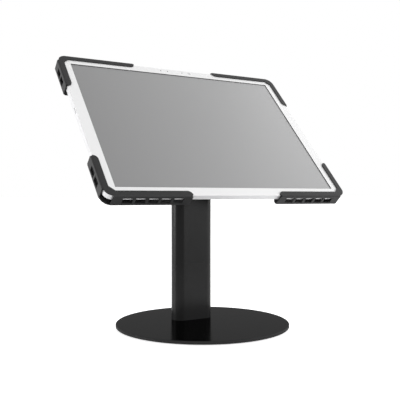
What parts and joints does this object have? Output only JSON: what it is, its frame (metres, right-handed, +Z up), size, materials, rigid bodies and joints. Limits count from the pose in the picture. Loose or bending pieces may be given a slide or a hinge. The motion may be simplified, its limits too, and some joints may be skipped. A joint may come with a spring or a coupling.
{
  "type": "tablet desk stand",
  "caption": "Desk stand holding a tablet by folded corner brackets on a tilting, turning head over a column and round base.",
  "frame": {"origin": "on the desk, under the middle of the round base", "axes": "+X to the right of a person at the screen, +Y away from them, +Z up"},
  "size_m": [0.3096, 0.2046, 0.3183],
  "materials": {
    "black_steel": "fine black powder coat",
    "black_column": "satin black anodised extrusion",
    "black_casting": "black painted casting",
    "black_fasteners": "black oxide",
    "spring_steel": "plain spring steel",
    "friction_nylon": "natural nylon",
    "black_rubber": "matt black rubber",
    "foot_foam": "thin closed-cell foam",
    "pad_foam": "soft black foam",
    "tablet_metal": "silver, bead-blasted",
    "white_bezel": "white front glass",
    "screen_glass": "screen showing a plain grey",
    "camera_glass": "dark lens glass",
    "battery_pouch": "dark foil pouch",
    "circuit_board": "green board with shields"
  },
  "bodies": {
    "stand": {"base_plate": "black_steel", "base_pad": "foot_foam", "column": "black_column", "base_screws": "black_fasteners", "lower_cable_grommet": "black_rubber", "upper_cable_grommet": "black_rubber", "hinge_post": "black_casting", "post_screws": "black_fasteners"},
    "tilt_part": {"tilt_bracket": "black_steel", "tilt_bolt": "black_fasteners", "friction_washers": "friction_nylon", "disc_springs": "spring_steel", "tilt_nut": "black_fasteners"},
    "head": {"back_plate": "black_steel", "swivel_bolt": "black_fasteners", "swivel_front_washer": "friction_nylon", "swivel_rear_washer": "spring_steel", "swivel_spring": "spring_steel", "swivel_nut": "black_fasteners", "stop_pin": "spring_steel", "tablet_shell": "tablet_metal", "tablet_bezel": "white_bezel", "display_panel": "screen_glass", "tablet_battery": "battery_pouch", "tablet_board": "circuit_board", "front_camera": "camera_glass", "rear_camera_ring": "tablet_metal", "rear_camera_lens": "camera_glass"},
    "corner_top_left": {"corner_bracket_top_left": "black_steel", "corner_pad_top_left": "pad_foam", "clamp_screws_top_left": "black_fasteners"},
    "corner_top_right": {"corner_bracket_top_right": "black_steel", "corner_pad_top_right": "pad_foam", "clamp_screws_top_right": "black_fasteners"},
    "corner_bottom_left": {"corner_bracket_bottom_left": "black_steel", "corner_pad_bottom_left": "pad_foam", "clamp_screws_bottom_left": "black_fasteners"},
    "corner_bottom_right": {"corner_bracket_bottom_right": "black_steel", "corner_pad_bottom_right": "pad_foam", "clamp_screws_bottom_right": "black_fasteners"},
    "power_button": {"power_key": "tablet_metal"},
    "volume_up_button": {"volume_up_key": "tablet_metal"},
    "volume_down_button": {"volume_down_key": "tablet_metal"}
  },
  "joints": [
    {"name": "head_tilt", "type": "hinge", "parent": "stand", "child": "tilt_part", "pos_m": [0, 0.027, 0.2087], "axis": [1, 0, 0], "range_deg": [-32, 42.9]},
    {"name": "head_turn", "type": "hinge", "parent": "tilt_part", "child": "head", "pos_m": [0, 0.027, 0.2087], "axis": [0, -0.7325, 0.6807], "range_deg": [-90, 90]},
    {"name": "clamp_top_left", "type": "slide", "parent": "head", "child": "corner_top_left", "axis": [-0.8082, 0.4009, 0.4314], "range_m": [0, 0.012]},
    {"name": "clamp_top_right", "type": "slide", "parent": "head", "child": "corner_top_right", "axis": [0.8082, 0.4009, 0.4314], "range_m": [0, 0.012]},
    {"name": "clamp_bottom_left", "type": "slide", "parent": "head", "child": "corner_bottom_left", "axis": [-0.8082, -0.4009, -0.4314], "range_m": [0, 0.012]},
    {"name": "clamp_bottom_right", "type": "slide", "parent": "head", "child": "corner_bottom_right", "axis": [0.8082, -0.4009, -0.4314], "range_m": [0, 0.012]},
    {"name": "power_press", "type": "slide", "parent": "head", "child": "power_button", "axis": [1, 0, 0], "range_m": [0, 0.00035], "stiffness_N_per_m": 800},
    {"name": "volume_up_press", "type": "slide", "parent": "head", "child": "volume_up_button", "axis": [0, -0.6807, -0.7325], "range_m": [0, 0.00035], "stiffness_N_per_m": 800},
    {"name": "volume_down_press", "type": "slide", "parent": "head", "child": "volume_down_button", "axis": [0, -0.6807, -0.7325], "range_m": [0, 0.00035], "stiffness_N_per_m": 800}
  ]
}
